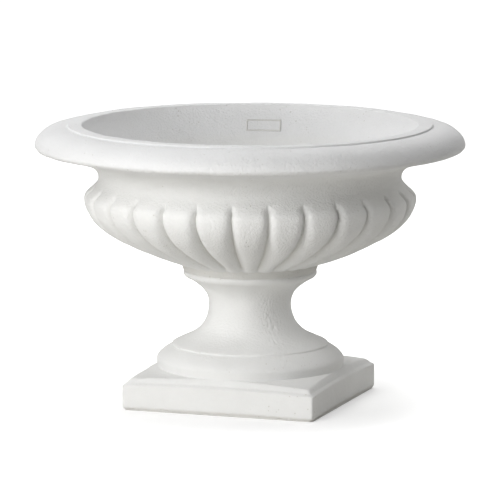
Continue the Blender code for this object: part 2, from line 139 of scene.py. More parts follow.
LOBE_HEAD_DEPTH_SHARE = 0.75
LOBE_NARROWING_SHARE = 0.25
LOBE_POWER = 2.0
LOBE_HEAD_POWER = 7.0
seat_z = bowl_low.z + SPIGOT_DEPTH
print(f"the bowl's seat is {1000 * (seat_z - foot_top):.1f} mm above the foot")

# %% [markdown]
# ## Curves and lofts
#
# A moulding is drawn as half a section: pairs of radius and height. Straight runs are points, and
# round stretches are Bezier curves, most with handles at shares of the curve's own size. A loft
# then joins rings of vertices into a skin. Spin would do for a plain turned shape, but rings may
# also follow a square, which the plinth needs.

# %% Curves
SAME_PLACE = 1e-7


def bezier(start, start_handle, end_handle, end, steps=24):
    """Return the points of a cubic curve, with both its ends."""
    t = np.linspace(0, 1, steps + 1)[:, None]
    s = 1 - t
    corners = [np.array(corner, float)[None] for corner in (start, start_handle, end_handle, end)]
    weights = (s ** 3, 3 * s * s * t, 3 * s * t * t, t ** 3)
    return sum(weight * corner for weight, corner in zip(weights, corners))


def curve(start, end, first, second, steps=24):
    """Return a Bezier curve whose two handles lie at shares of its width and height."""
    start = np.array(start, float)
    size = np.array(end, float) - start
    return bezier(start, start + size * first, start + size * second, end, steps)


def resample(points, spacing, soften):
    """Space a section's points evenly, and round its hard corners as a worn mould would."""
    points = np.array(points, float)
    steps = np.hypot(*np.diff(points, axis=0).T)
    points = points[np.concatenate([[True], steps > SAME_PLACE])]
    run = np.concatenate([[0], np.cumsum(np.hypot(*np.diff(points, axis=0).T))])
    fine = np.arange(0, run[-1], soften / 4)
    dense = np.stack([np.interp(fine, run, points[:, axis]) for axis in (0, 1)], 1)
    reach = 8
    window = np.exp(-np.linspace(-2, 2, 2 * reach + 1) ** 2)
    window /= window.sum()
    padded = np.concatenate([
        2 * dense[:1] - dense[reach:0:-1], dense, 2 * dense[-1:] - dense[-2:-reach - 2:-1]])
    smooth = np.stack([np.convolve(padded[:, axis], window, "valid") for axis in (0, 1)], 1)
    run = np.concatenate([[0], np.cumsum(np.hypot(*np.diff(smooth, axis=0).T))])
    count = max(2, round(run[-1] / spacing) + 1)
    even = np.linspace(0, run[-1], count)
    return np.stack([np.interp(even, run, smooth[:, axis]) for axis in (0, 1)], 1)


# %% Lofts
def fold(angle, span):
    """Return how far an angle lies from the nearest whole number of spans."""
    return abs((angle + span / 2) % span - span / 2)


def circle(radius, z, columns, grooves=0, bunching=0.0):
    """Return one ring, plain or with a radius and z for each column, bunched where grooves will be."""
    angles = np.arange(columns) * 2 * math.pi / columns
    if grooves:
        angles = angles - bunching * np.sin(grooves * angles) / grooves
    return np.stack([radius * np.cos(angles), radius * np.sin(angles), np.full(columns, z)], 1)


def skin(lower, upper):
    """Return the faces between two rings of vertex numbers; one may have twice as many."""
    flip = len(lower) < len(upper)
    if flip:
        lower, upper = upper, lower
    faces = []
    for i, corner in enumerate(upper):
        following = upper[(i + 1) % len(upper)]
        if len(lower) == len(upper):
            faces.append((lower[i], lower[(i + 1) % len(lower)], following, corner))
            continue
        before, middle, after = (lower[(2 * i + k) % len(lower)] for k in (-1, 0, 1))
        faces += [(before, middle, corner), (middle, after, corner)]
        faces.append((after, following, corner))
    return [face[::-1] for face in faces] if flip else faces


def put(name, data):
    """Make an object from its data, and link it to the scene."""
    shown = bpy.data.objects.new(name, data)
    bpy.context.collection.objects.link(shown)
    return shown


def loft(name, rings, closed=True):
    """Make a mesh from rings; a ring of one vertex closes an end."""
    starts = np.cumsum([0] + [len(ring) for ring in rings])
    numbers = [range(starts[i], starts[i + 1]) for i in range(len(rings))]
    faces = []
    for lower, upper in zip(numbers, numbers[1:] + (numbers[:1] if closed else [])):
        if len(upper) == 1:
            faces += [(a, b, upper[0]) for a, b in zip(lower, list(lower[1:]) + [lower[0]])]
        elif len(lower) == 1:
            faces += [(b, a, lower[0]) for a, b in zip(upper, list(upper[1:]) + [upper[0]])]
        else:
            faces += skin(lower, upper)
    mesh = bpy.data.meshes.new(name)
    mesh.from_pydata(np.concatenate(rings).tolist(), [], faces)
    mesh.validate()
    mesh.shade_smooth()
    return put(name, mesh)


def paint(piece, name, values):
    """Store one number for each vertex, for the node trees to read."""
    attribute = piece.data.attributes.new(name, "FLOAT", "POINT")
    attribute.data.foreach_set("value", np.asarray(values, np.float32))


def crumbled(points, patches):
    """Return how lumpy each point is, near patches where the mould's face had crumbled."""
    lumpy = np.zeros(len(points))
    for *centre, size in patches:
        distance = np.linalg.norm(points - np.array(centre), axis=1)
        lumpy = np.maximum(lumpy, np.exp(-(distance / size) ** 2))
    return lumpy


def turned(name, section, columns):
    """Make a round closed piece from the corners of its section."""
    return loft(name, [circle(radius, z, columns) for radius, z in section])


# %% [markdown]
# ## Helpers for node trees
#
# Shader trees and Geometry Nodes trees are wired the same way: add a node, then give each input
# either a plain value or a link. A few short helpers keep the later cells readable.

# %% Wiring
def connect(tree, value, socket):
    """Link an output to a socket, or set the socket to a plain value."""
    if isinstance(value, bpy.types.NodeSocket):
        tree.links.new(value, socket)
    else:
        socket.default_value = value


def add(tree, kind, inputs=None, **settings):
    """Add a node with its settings, and fill its inputs by name or by number."""
    node = tree.nodes.new(kind)
    for key, value in settings.items():
        setattr(node, key, value)
    for key, value in (inputs or {}).items():
        connect(tree, value, node.inputs[key])
    return node


def maths(tree, operation, *values):
    """Add a Math node, and return its result."""
    return add(tree, "ShaderNodeMath", dict(enumerate(values)), operation=operation).outputs[0]


def product(tree, result, *others):
    """Multiply numbers in turn."""
    for other in others:
        result = maths(tree, "MULTIPLY", result, other)
    return result


def zigzag(tree, turns):
    """Return 1 at each whole number, 0 half way to the next, and straight slopes between them."""
    phase = maths(tree, "FRACT", turns)
    return maths(tree, "ABSOLUTE", maths(tree, "SUBTRACT", product(tree, phase, 2.0), 1.0))


def vector_maths(tree, operation, inputs):
    """Add a Vector Math node, and return its vector."""
    return add(tree, "ShaderNodeVectorMath", inputs, operation=operation).outputs[0]


def between(tree, value, low, high, first=0.0, last=1.0):
    """Ease from one value to another while the input goes from low to high."""
    inputs = {"Value": value, "From Min": low, "From Max": high, "To Min": first, "To Max": last}
    node = add(tree, "ShaderNodeMapRange", inputs, interpolation_type="SMOOTHSTEP")
    return node.outputs["Result"]


def off_axis(tree, place):
    """Return how far a place lies from the urn's axis."""
    flat = vector_maths(tree, "MULTIPLY", {0: place, 1: (1, 1, 0)})
    return add(tree, "ShaderNodeVectorMath", {0: flat}, operation="LENGTH").outputs["Value"]


def turn_of(tree, x, y):
    """Return how far a place lies round the urn's axis, in turns."""
    return maths(tree, "DIVIDE", maths(tree, "ARCTAN2", y, x), 2 * math.pi)


def named_inputs(tree, sockets):
    """Give a node group its inputs: four numbers make a colour, and one is a plain value."""
    for label, value in sockets.items():
        kind = "NodeSocketColor" if isinstance(value, tuple) else "NodeSocketFloat"
        tree.interface.new_socket(label, in_out="INPUT", socket_type=kind).default_value = value


# %% Trees that shape a mesh
def geometry_tree(name, sockets):
    """Start a Geometry Nodes tree with a mesh in, a mesh out, a material and each vertex's place."""
    tree = bpy.data.node_groups.new(name, "GeometryNodeTree")
    tree.interface.new_socket("Geometry", in_out="INPUT", socket_type="NodeSocketGeometry")
    named_inputs(tree, sockets)
    tree.interface.new_socket("Material", in_out="INPUT", socket_type="NodeSocketMaterial")
    tree.interface.new_socket("Geometry", in_out="OUTPUT", socket_type="NodeSocketGeometry")
    place = tree.nodes.new("GeometryNodeInputPosition").outputs[0]
    return tree, tree.nodes.new("NodeGroupInput").outputs, place


def move_along(tree, geometry, direction, distance):
    """Move each vertex along a direction by a distance of its own."""
    offset = vector_maths(tree, "SCALE", {0: direction, "Scale": distance})
    return add(tree, "GeometryNodeSetPosition", {"Geometry": geometry, "Offset": offset}).outputs[0]


def end_tree(tree, given, geometry):
    """End a tree in Set Material and Realize Instances."""
    inputs = {"Geometry": geometry, "Material": given["Material"]}
    finished = add(tree, "GeometryNodeSetMaterial", inputs)
    real = add(tree, "GeometryNodeRealizeInstances", {"Geometry": finished.outputs[0]})
    add(tree, "NodeGroupOutput", {0: real.outputs[0]})


def read_attribute(tree, name):
    """Read a number that was stored on the vertices."""
    node = add(tree, "GeometryNodeInputNamedAttribute", {"Name": name}, data_type="FLOAT")
    return node.outputs["Attribute"]


def apply_trees(piece, stages):
    """Run the mesh through the trees in turn, and return a plain object of the same name."""
    for tree, values in stages:
        modifier = piece.modifiers.new(tree.name, "NODES")
        modifier.node_group = tree
        for item in tree.interface.items_tree:
            if item.in_out == "INPUT" and item.name in values:
                modifier[item.identifier] = values[item.name]
    name = piece.name
    graph = bpy.context.evaluated_depsgraph_get()
    mesh = bpy.data.meshes.new_from_object(
        piece.evaluated_get(graph), preserve_all_data_layers=True, depsgraph=graph)
    bpy.data.objects.remove(piece)
    mesh.name = name
    print(f"{name}: {len(mesh.polygons)} faces")
    return put(name, mesh)


# %% [markdown]
# ## The concrete's finish
#
# White cast concrete is matte and nearly even in colour. What makes it read as concrete is small:
# a sandy grain of about a millimetre, scattered air holes and faint cloudy patches where the slurry
# dried unevenly. The colour also holds painted shade: in the grooves and other hollows, in the air
# holes, and, with some wear, along broken edges. Each effect is a node group with named inputs, so
# that the castings and the mortar can share it with their own values. The foot was rubbed smoother
# than the bowl, so its grain is weaker and it has fewer holes.

# %% Shader group: grain
def shader_group(name, sockets, result, kind="Float"):
    """Start a shader group that reads the object's own coordinates."""
    tree = bpy.data.node_groups.new(name, "ShaderNodeTree")
    named_inputs(tree, sockets)
    tree.interface.new_socket(result, in_out="OUTPUT", socket_type="NodeSocket" + kind)
    place = tree.nodes.new("ShaderNodeTexCoord").outputs["Object"]
    return tree, tree.nodes.new("NodeGroupInput").outputs, place


def noise(tree, place, scale, detail, roughness, seed):
    """Add a noise with its own seed, and return its value."""
    inputs = {"Vector": place, "W": seed, "Scale": scale, "Detail": detail, "Roughness": roughness}
    return add(tree, "ShaderNodeTexNoise", inputs, noise_dimensions="4D").outputs[0]


def build_grain():
    """Height of sand grains over a gentle unevenness left by the mould."""
    sockets = {"Grains per metre": 900.0, "Swell per metre": 130.0, "Swell share": 0.5}
    tree, given, place = shader_group("sand_grain", sockets, "Height")
    sand = noise(tree, place, given["Grains per metre"], detail=4.0, roughness=0.62, seed=1.3)
    sand = between(tree, sand, 0.30, 0.70)
    swell = noise(tree, place, given["Swell per metre"], detail=2.0, roughness=0.45, seed=4.1)
    both = add(tree, "ShaderNodeMix", {0: given["Swell share"], 2: sand, 3: swell})
    add(tree, "NodeGroupOutput", {0: both.outputs[0]})
    return tree


grain_group = build_grain()
print("group:", grain_group.name)

# %% Shader group: air holes
LONE_HOLE_SHARE = 0.02
SMALLEST_HOLE = 0.35
HOLE_FLOOR_SHARE = 0.55


def build_pores():
    """Mask of round air holes: some of the cells of a Voronoi pattern hold one, mostly in flocks."""
    sockets = {
        "Cells per metre": 200.0, "Share of cells": 0.1, "Hole size": 0.22, "Flocks per metre": 22.0}
    tree, given, place = shader_group("air_holes", sockets, "Mask")
    cells = add(tree, "ShaderNodeTexVoronoi", {"Vector": place, "Scale": given["Cells per metre"]})
    chance = add(tree, "ShaderNodeSeparateColor", {0: cells.outputs["Color"]}).outputs
    flock = noise(tree, place, given["Flocks per metre"], detail=3.0, roughness=0.6, seed=6.2)
    crowded = between(tree, flock, 0.52, 0.66, LONE_HOLE_SHARE, 1.0)
    share = product(tree, given["Share of cells"], crowded)
    chosen = maths(tree, "LESS_THAN", chance[0], share)
    size = product(tree, given["Hole size"], maths(tree, "ADD", chance[1], SMALLEST_HOLE))
    inner = product(tree, size, HOLE_FLOOR_SHARE)
    hole = between(tree, cells.outputs["Distance"], inner, size, 1.0, 0.0)
    add(tree, "NodeGroupOutput", {0: product(tree, hole, chosen)})
    return tree


pore_group = build_pores()
print("group:", pore_group.name)

# %% Shader group: clouds of tone
def build_clouds():
    """Colour that drifts between a light and a dark tone in soft patches."""
    sockets = {"Light": (1, 1, 1, 1), "Dark": (0.5, 0.5, 0.5, 1), "Patches per metre": 14.0}
    tree, given, place = shader_group("tone_clouds", sockets, "Color", kind="Color")
    broad = noise(tree, place, given["Patches per metre"], detail=4.0, roughness=0.6, seed=2.7)
    share = between(tree, broad, 0.3, 0.7)
    mixed = add(tree, "ShaderNodeMix", {0: share, 6: given["Dark"], 7: given["Light"]}, data_type="RGBA")
    add(tree, "NodeGroupOutput", {0: mixed.outputs[2]})
    return tree


cloud_group = build_clouds()
print("group:", cloud_group.name)

# %% Shader group: warmer below the lip
def build_warm_below_lip():
    """Mask of what lies below a height, where the colour is tinted slightly warmer."""
    tree, given, place = shader_group("warm_below_lip", {"Height": 0.28, "Softness": 0.015}, "Mask")
    z = add(tree, "ShaderNodeSeparateXYZ", {0: place}).outputs[2]
    low = maths(tree, "SUBTRACT", given["Height"], given["Softness"])
    add(tree, "NodeGroupOutput", {0: between(tree, z, low, given["Height"], 1.0, 0.0)})
    return tree


warm_below_lip_group = build_warm_below_lip()
print("group:", warm_below_lip_group.name)

# %% Concrete and mortar
# A slightly warmer tint below the lip's height.
WARM_LOW_TINT = (1.0, 0.999, 0.984, 1)
# Painted shade: darkens the grooves between the lobes, most at their bottoms, and the raised frame inside
# the bowl.
PAINTED_SHADE_TINT = (0.86, 0.85, 0.82, 1)
# Darker broken edges: partly wear, partly painted shade on the lip's lower edge, the plinth's
# downward-facing bottom strip and the mortar joint.
BROKEN_EDGE_AND_SHADE_TINT = (0.91, 0.90, 0.88, 1)
# Painted shade in the air holes, darkening each pit.
HOLE_SHADE_TINT = (0.84, 0.83, 0.80, 1)
HOLE_DEPTH = 0.8
BROKEN_BUMP = 0.8
CEMENT_BUMP = 0.0009
CEMENT_ROUGHNESS = 0.88
CEMENT_SHEEN = 0.25
LIP_HEIGHT = seat_z + BELLY_HEIGHT + SHOULDER_HEIGHT + LIP_UNDERSIDE_RISE


def start_material(name):
    """Return a new material's tree and its Principled shader."""
    material = bpy.data.materials.new(name)
    material.use_nodes = True
    return material, material.node_tree, material.node_tree.nodes["Principled BSDF"]


def use_group(tree, group, values):
    """Place a shader group in a material with its own values."""
    node = add(tree, "ShaderNodeGroup", node_tree=group)
    for key, value in values.items():
        connect(tree, value, node.inputs[key])
    return node.outputs[0]


def finish_with(tree, shader, colour, height, strength, distance):
    """Give a shader its colour, and a bump that follows a height."""
    inputs = {"Strength": strength, "Distance": distance, "Height": height}
    connect(tree, add(tree, "ShaderNodeBump", inputs).outputs[0], shader.inputs["Normal"])
    connect(tree, colour, shader.inputs["Base Color"])


def cast_material(name, light, dark, grain, holes, bump):
    """Make a matte cement finish from grain, air holes and tone, with painted shade in its hollows, holes
    and broken edges.
    """
    material, tree, shader = start_material(name)
    height = use_group(tree, grain_group, grain)
    pores = use_group(tree, pore_group, holes)
    colour = use_group(tree, cloud_group, {"Light": light, "Dark": dark})
    warm_share = use_group(tree, warm_below_lip_group, {"Height": LIP_HEIGHT})
    painted_shade = add(tree, "ShaderNodeAttribute", attribute_name="painted_shade").outputs["Fac"]
    rough = add(tree, "ShaderNodeAttribute", attribute_name="rough").outputs["Fac"]
    stains = [(warm_share, WARM_LOW_TINT), (painted_shade, PAINTED_SHADE_TINT), (rough, BROKEN_EDGE_AND_SHADE_TINT), (pores, HOLE_SHADE_TINT)]
    for share, tint in stains:
        inputs = {0: share, 6: colour, 7: tint}
        colour = add(tree, "ShaderNodeMix", inputs, data_type="RGBA", blend_type="MULTIPLY").outputs[2]
    sunk = maths(tree, "SUBTRACT", height, product(tree, pores, HOLE_DEPTH))
    strength = maths(tree, "ADD", bump, product(tree, rough, BROKEN_BUMP))
    finish_with(tree, shader, colour, sunk, strength, CEMENT_BUMP)
    shader.inputs["Roughness"].default_value = CEMENT_ROUGHNESS
    shader.inputs["Specular IOR Level"].default_value = CEMENT_SHEEN
    return material


CONCRETE_TONES = ((0.800, 0.801, 0.803, 1), (0.768, 0.768, 0.768, 1))
CONCRETE_GRAIN = {"Grains per metre": 360.0, "Swell per metre": 120.0, "Swell share": 0.30}
white_concrete = cast_material(
    "white_concrete", *CONCRETE_TONES, CONCRETE_GRAIN,
    {"Cells per metre": 320.0, "Share of cells": 0.40, "Hole size": 0.30}, 0.80)
rubbed_concrete = cast_material(
    "rubbed_concrete", *CONCRETE_TONES, CONCRETE_GRAIN,
    {"Cells per metre": 320.0, "Share of cells": 0.25, "Hole size": 0.28}, 0.42)
bedding_mortar = cast_material(
    "bedding_mortar", (0.80, 0.797, 0.785, 1), (0.75, 0.747, 0.735, 1),
    {"Grains per metre": 600.0, "Swell per metre": 200.0, "Swell share": 0.3},
    {"Cells per metre": 300.0, "Share of cells": 0.3, "Hole size": 0.3}, 0.8)
print("materials:", white_concrete.name, rubbed_concrete.name, bedding_mortar.name)

# %% [markdown]
# ## The steel and the rubber
#
# The tube, nuts and washers are zinc-plated: a dull bluish grey in small lighter and darker patches.
# The plug and the seal are black rubber with a bloom of dust.

# %% Steel and rubber
MARK_DEPTH = 0.0001


def marked_material(name, tones, marks, roughness, bump, metallic):
    """Make a cloudy surface whose fine marks show in its roughness."""
    material, tree, shader = start_material(name)
    height = use_group(tree, grain_group, marks)
    finish_with(tree, shader, use_group(tree, cloud_group, tones), height, bump, MARK_DEPTH)
    connect(tree, between(tree, height, 0.3, 0.7, *roughness), shader.inputs["Roughness"])
    shader.inputs["Metallic"].default_value = metallic
    return material


zinc_plating = marked_material(
    "zinc_plating",
    {"Light": (0.52, 0.53, 0.55, 1), "Dark": (0.38, 0.39, 0.41, 1), "Patches per metre": 160.0},
    {"Grains per metre": 1500.0, "Swell per metre": 400.0},
    roughness=(0.30, 0.48), bump=0.12, metallic=1.0)
dusty_rubber = marked_material(
    "dusty_rubber",
    {"Light": (0.060, 0.058, 0.055, 1), "Dark": (0.022, 0.022, 0.022, 1), "Patches per metre": 90.0},
    {"Grains per metre": 2500.0, "Swell per metre": 500.0},
    roughness=(0.55, 0.75), bump=0.2, metallic=0.0)
print("materials:", zinc_plating.name, dusty_rubber.name)

# %% [markdown]
# ## Hand-cast unevenness
#
# A mould is filled and rubbed down by hand, so no face is quite true. This tree moves each vertex
# inwards along its normal by a broad noise and a small one, and by a rough one where an edge is
# broken. Where the mould's own face had crumbled, a last noise raises and sinks small lumps. The
# `free` attribute is 1 on surfaces that may wander and 0 on bores and seats, which keep their size.

# %% Geometry Nodes: unevenness
def build_unevenness():
    """Move free vertices inwards along their normals by noise, and both ways where they are lumpy."""
    sockets = {
        "Broad depth": 0.0008, "Broad per metre": 16.0, "Small depth": 0.0003, "Small per metre": 70.0,
        "Rough depth": 0.0012, "Rough per metre": 230.0, "Lump depth": 0.0012, "Lump per metre": 320.0,
        "Seed": 0.0}
    tree, given, place = geometry_tree("casting_unevenness", sockets)
    broad, small, rough, lump = [
        noise(tree, place, given[label + " per metre"], detail=2.0, roughness=0.5, seed=given["Seed"])
        for label in ("Broad", "Small", "Rough", "Lump")]
    broad = product(tree, between(tree, broad, 0.25, 0.75), given["Broad depth"])
    small = product(tree, between(tree, small, 0.25, 0.75), given["Small depth"])
    rough = product(
        tree, between(tree, rough, 0.25, 0.75), given["Rough depth"], read_attribute(tree, "rough"))
    lump = maths(tree, "SUBTRACT", between(tree, lump, 0.3, 0.7), 0.5)
    lump = product(tree, lump, given["Lump depth"], read_attribute(tree, "lumpy"))
    depth = maths(tree, "ADD", maths(tree, "ADD", maths(tree, "ADD", broad, small), rough), lump)
    inward = product(tree, depth, read_attribute(tree, "free"), -1.0)
    normal = add(tree, "GeometryNodeInputNormal").outputs[0]
    end_tree(tree, given, move_along(tree, given["Geometry"], normal, inward))
    return tree


unevenness = build_unevenness()
print("tree:", unevenness.name)

# %% [markdown]
# ## The bowl
#
# The bowl is turned plain first, and Geometry Nodes then press the grooves between the lobes into
# it, because their shape is a rule. Across one lobe, from its crest out to the groove, the depth
# grows with a power of the distance. Low down the power is 2, which gives a round lobe and a sharp
# valley. It rises towards the top, so the lobes grow flatter there and the grooves narrower, until
# they close against the shoulder.

# %% Bowl: the turned sections
PLAIN_SHOULDER_STEPS = 8


def lobed_section():
    """Return the lobes' blunt lower end, and the outside from there up past their heads."""
    end = (SEAT_RADIUS + LOBE_END_WIDTH, LOBE_END_HEIGHT)
    end_slope = UNDERSIDE_PITCH * LOBE_END_WIDTH / LOBE_END_HEIGHT
    slope = UNDERSIDE_PITCH * (BELLY_RADIUS - end[0]) / (BELLY_HEIGHT - end[1])
    lobe_end = curve((SEAT_RADIUS, 0), end, (0, 0.5), (0.5, 1 - 0.5 * end_slope))
    underside = curve(end, (BELLY_RADIUS, BELLY_HEIGHT), (0.71, 0.71 * slope), (1, 0.62), 80)
    return lobe_end, np.concatenate([underside, shoulder()[1:-PLAIN_SHOULDER_STEPS]])


def shoulder():
    """Return the outside from the belly up to the neck."""
    neck = (NECK_RADIUS, BELLY_HEIGHT + SHOULDER_HEIGHT)
    return curve((BELLY_RADIUS, BELLY_HEIGHT), neck, (0, 0.32), (1, 0.57), 40)


def rim_section():
    """Return the plain outside above the lobes and over the rim, and then the land and the mouth."""
    neck = (NECK_RADIUS, BELLY_HEIGHT + SHOULDER_HEIGHT)
    lip_edge = (rim_radius - LIP_NOSE_WIDTH, neck[1] + LIP_UNDERSIDE_RISE)
    nose_z = lip_edge[1] + LIP_NOSE_HEIGHT
    ovolo_top = nose_z + OVOLO_HEIGHT
    land_z = ovolo_top + LAND_STEP
    cove = curve(neck, (neck[0] + COVE_WIDTH, neck[1] + COVE_RISE), (0, 0.62), (0.5, 0.72), 40)
    ovolo = curve(
        (rim_radius, nose_z), (LAND_RADIUS + LAND_RISER_WIDTH, ovolo_top), (0, 0.48), (0.34, 1), 40)
    land = [
        (LAND_RADIUS + 0.24 * LAND_RISER_WIDTH, ovolo_top),
        (LAND_RADIUS + 0.10 * LAND_RISER_WIDTH, land_z - 0.12 * LAND_STEP),
        (LAND_RADIUS, land_z), (MOUTH_RADIUS + MOUTH_ROUND, land_z),
        (MOUTH_RADIUS + 0.2 * MOUTH_ROUND, land_z - 0.4 * MOUTH_ROUND),
        (MOUTH_RADIUS, land_z - MOUTH_ROUND)]
    plain = np.concatenate([shoulder()[-PLAIN_SHOULDER_STEPS:], cove[1:], [lip_edge], ovolo])
    return plain, np.array([ovolo[-1], *land])


def inside_section(mouth):
    """Return the inside from the mouth down to the edge of the drain's well."""
    neck = (NECK_RADIUS - NECK_WALL, BELLY_HEIGHT + SHOULDER_HEIGHT)
    floor = (FLOOR_RADIUS, FLOOR_THICKNESS + FLOOR_FALL)
    wall_lean = 0.002 / (mouth[0] - neck[0])
    basin_lean = 0.001 / (neck[0] - floor[0])
    wall = curve(mouth, neck, (0.12, 0.3), (1 - wall_lean, 0.66), 40)
    basin = curve(neck, floor, (basin_lean, 0.62), (0.32, 1), 60)
    return np.concatenate([wall, basin[1:], [(WELL_RADIUS + 2 * WELL_ROUND, FLOOR_THICKNESS)]])


# %% Bowl: turn it
COLUMNS_PER_LOBE = 18
LOBE_COLUMNS = LOBE_COUNT * COLUMNS_PER_LOBE
PLAIN_COLUMNS = LOBE_COLUMNS // 2
BUNCHING = 0.6
BORE_CLEARANCE = 0.0013
BORE_RADIUS = tube_radius + BORE_CLEARANCE
LIP_WEAR = 0.45
LIP_WEAR_REACH = 0.0035
lobe_end, belly = lobed_section()
lobed = np.concatenate([resample(lobe_end, 0.0012, 0.0004), resample(belly, 0.0020, 0.0050)[1:]])
rim, land = rim_section()
rim = resample(rim, 0.0020, 0.0005)
land = resample(land, 0.0008, 0.0002)
inside = resample(inside_section(land[-1]), 0.0045, 0.0010)
well = [
    (WELL_RADIUS + 0.4 * WELL_ROUND, FLOOR_THICKNESS - 0.3 * WELL_ROUND),
    (WELL_RADIUS, FLOOR_THICKNESS - WELL_ROUND), (WELL_RADIUS, WELL_FLOOR), (BORE_RADIUS, WELL_FLOOR),
    (BORE_RADIUS, -SPIGOT_DEPTH), (SPIGOT_RADIUS, -SPIGOT_DEPTH), (SPIGOT_RADIUS, 0.0)]
rings = [circle(radius, seat_z + z, LOBE_COLUMNS, LOBE_COUNT, BUNCHING) for radius, z in lobed]
rings += [
    circle(radius, seat_z + z, PLAIN_COLUMNS, LOBE_COUNT, BUNCHING)
    for radius, z in [*rim[1:], *land[1:], *inside[1:], *well]]
bowl = loft("bowl_casting", rings)
lobed_count = len(lobed) * LOBE_COLUMNS
free_count = len(bowl.data.vertices) - len(well) * PLAIN_COLUMNS
marks = np.arange(len(bowl.data.vertices))
paint(bowl, "lobed", marks < lobed_count)
paint(bowl, "free", (marks < free_count) & (marks >= LOBE_COLUMNS))
lip_z = rim_top - OVOLO_HEIGHT - LAND_STEP - LIP_NOSE_HEIGHT
from_lip = np.array([math.hypot(ring[0][0] - rim_radius, ring[0][2] - lip_z) for ring in rings])
worn = LIP_WEAR * np.exp(-(from_lip / LIP_WEAR_REACH) ** 2)
# The lip's wear also darkens its colour a little, as painted shade along the lip's lower edge.
paint(bowl, "rough", np.repeat(worn, [len(ring) for ring in rings]))
LOBE_PATCHES = [(0.1255, -0.1263, 0.2085, 0.012), (0.1419, -0.1259, 0.2251, 0.010)]
paint(bowl, "lumpy", crumbled(np.concatenate(rings), LOBE_PATCHES))
print(f"bowl: {len(lobed)} lobed rings, {len(rings) - len(lobed)} plain ones")

# %% Geometry Nodes: gadroons
def build_gadroons():
    """Press the grooves between the lobes into a turned bowl."""
    sockets = {
        "Lobes": float(LOBE_COUNT), "Depth": LOBE_DEPTH, "Belly radius": BELLY_RADIUS,
        "Narrow from": seat_z + LOBE_NARROWING_SHARE * BELLY_HEIGHT,
        "Head": seat_z + BELLY_HEIGHT + LOBE_HEAD_RISE, "Head length": LOBE_HEAD_LENGTH,
        "Sharpness": LOBE_HEAD_POWER, "Head depth": LOBE_HEAD_DEPTH_SHARE,
        "Seat radius": SEAT_RADIUS, "End": LOBE_END_FADE}
    tree, given, place = geometry_tree("gadroons", sockets)
    x, y, z = add(tree, "ShaderNodeSeparateXYZ", {0: place}).outputs
    radius = off_axis(tree, place)
    lobes = maths(tree, "ADD", product(tree, turn_of(tree, x, y), given["Lobes"]), given["Lobes"])
    power = between(tree, z, given["Narrow from"], given["Head"], LOBE_POWER, given["Sharpness"])
    shallower = between(tree, z, given["Narrow from"], given["Head"], 1.0, given["Head depth"])
    closing = maths(tree, "SUBTRACT", given["Head"], given["Head length"])
    head = between(tree, z, closing, given["Head"], 1.0, 0.0)
    end_radius = maths(tree, "ADD", given["Seat radius"], given["End"])
    end = between(tree, radius, given["Seat radius"], end_radius)
    lobe = maths(tree, "POWER", zigzag(tree, lobes), power)
    sink = product(tree, lobe, shallower, head, end, read_attribute(tree, "lobed"))
    depth = product(tree, given["Depth"], maths(tree, "DIVIDE", radius, given["Belly radius"]))
    # Store painted shade for the material: the deeper the groove, the darker its colour.
    inputs = {"Geometry": given["Geometry"], "Name": "painted_shade", "Value": maths(tree, "POWER", sink, 3.0)}
    stored = add(tree, "GeometryNodeStoreNamedAttribute", inputs, data_type="FLOAT", domain="POINT")
    normal = add(tree, "GeometryNodeInputNormal").outputs[0]
    inward = product(tree, sink, depth, -1.0)
    end_tree(tree, given, move_along(tree, stored.outputs[0], normal, inward))
    return tree


gadroons = build_gadroons()
bowl = apply_trees(bowl, [
    (gadroons, {"Material": white_concrete}), (unevenness, {"Seed": 3.0, "Material": white_concrete})])

# %% Bowl: the small raised frame on the inner wall
FRAME_BEARING = math.radians(104.05)
FRAME_HEIGHT = 0.2990
FRAME_HALF_WIDTH = 0.0210
FRAME_HALF_RISE = 0.0066
FRAME_LINE = 0.0021
FRAME_RELIEF = 0.0011
FRAME_ROOT = 0.0015
FRAME_STEPS = 12
SQUARE = [(-1, -1), (1, -1), (1, 1), (-1, 1)]


def frame_ring(inset, relief):
    """Return a rectangle of points that follows the inner wall and stands off it."""
    points = []
    for start, end in zip(SQUARE, SQUARE[1:] + SQUARE[:1]):
        for share in np.linspace(0, 1, FRAME_STEPS, endpoint=False):
            side, level = np.array(start) * (1 - share) + np.array(end) * share
            z = FRAME_HEIGHT + level * (FRAME_HALF_RISE - inset)
            radius = np.interp(z - seat_z, inside[::-1, 1], inside[::-1, 0]) - relief
            angle = FRAME_BEARING + side * (FRAME_HALF_WIDTH - inset) / radius
            points.append((radius * math.cos(angle), radius * math.sin(angle), z))
    return np.array(points)


raised_frame = loft("raised_frame", [
    frame_ring(0.0, -FRAME_ROOT), frame_ring(FRAME_LINE, -FRAME_ROOT),
    frame_ring(0.75 * FRAME_LINE, FRAME_RELIEF), frame_ring(0.25 * FRAME_LINE, FRAME_RELIEF)])
# The whole frame gets painted shade, standing in for the shade along its raised lines.
paint(raised_frame, "painted_shade", np.ones(len(raised_frame.data.vertices)))
with bpy.context.temp_override(active_object=bowl, selected_editable_objects=[bowl, raised_frame]):
    bpy.ops.object.join()
print("bowl with its frame:", len(bowl.data.polygons), "faces")

# %% [markdown]
# ## The foot
#
# The foot is one casting of two forms: a turned stem and a square plinth. A Boolean would join
# them, but it leaves ragged faces along the seam. Here every column of vertices is worked out by
# itself: it comes down the turned outline to where that meets the plinth, then runs out over the
# conical top, the riser and the shoulder, down the bowed face and in along the underside.

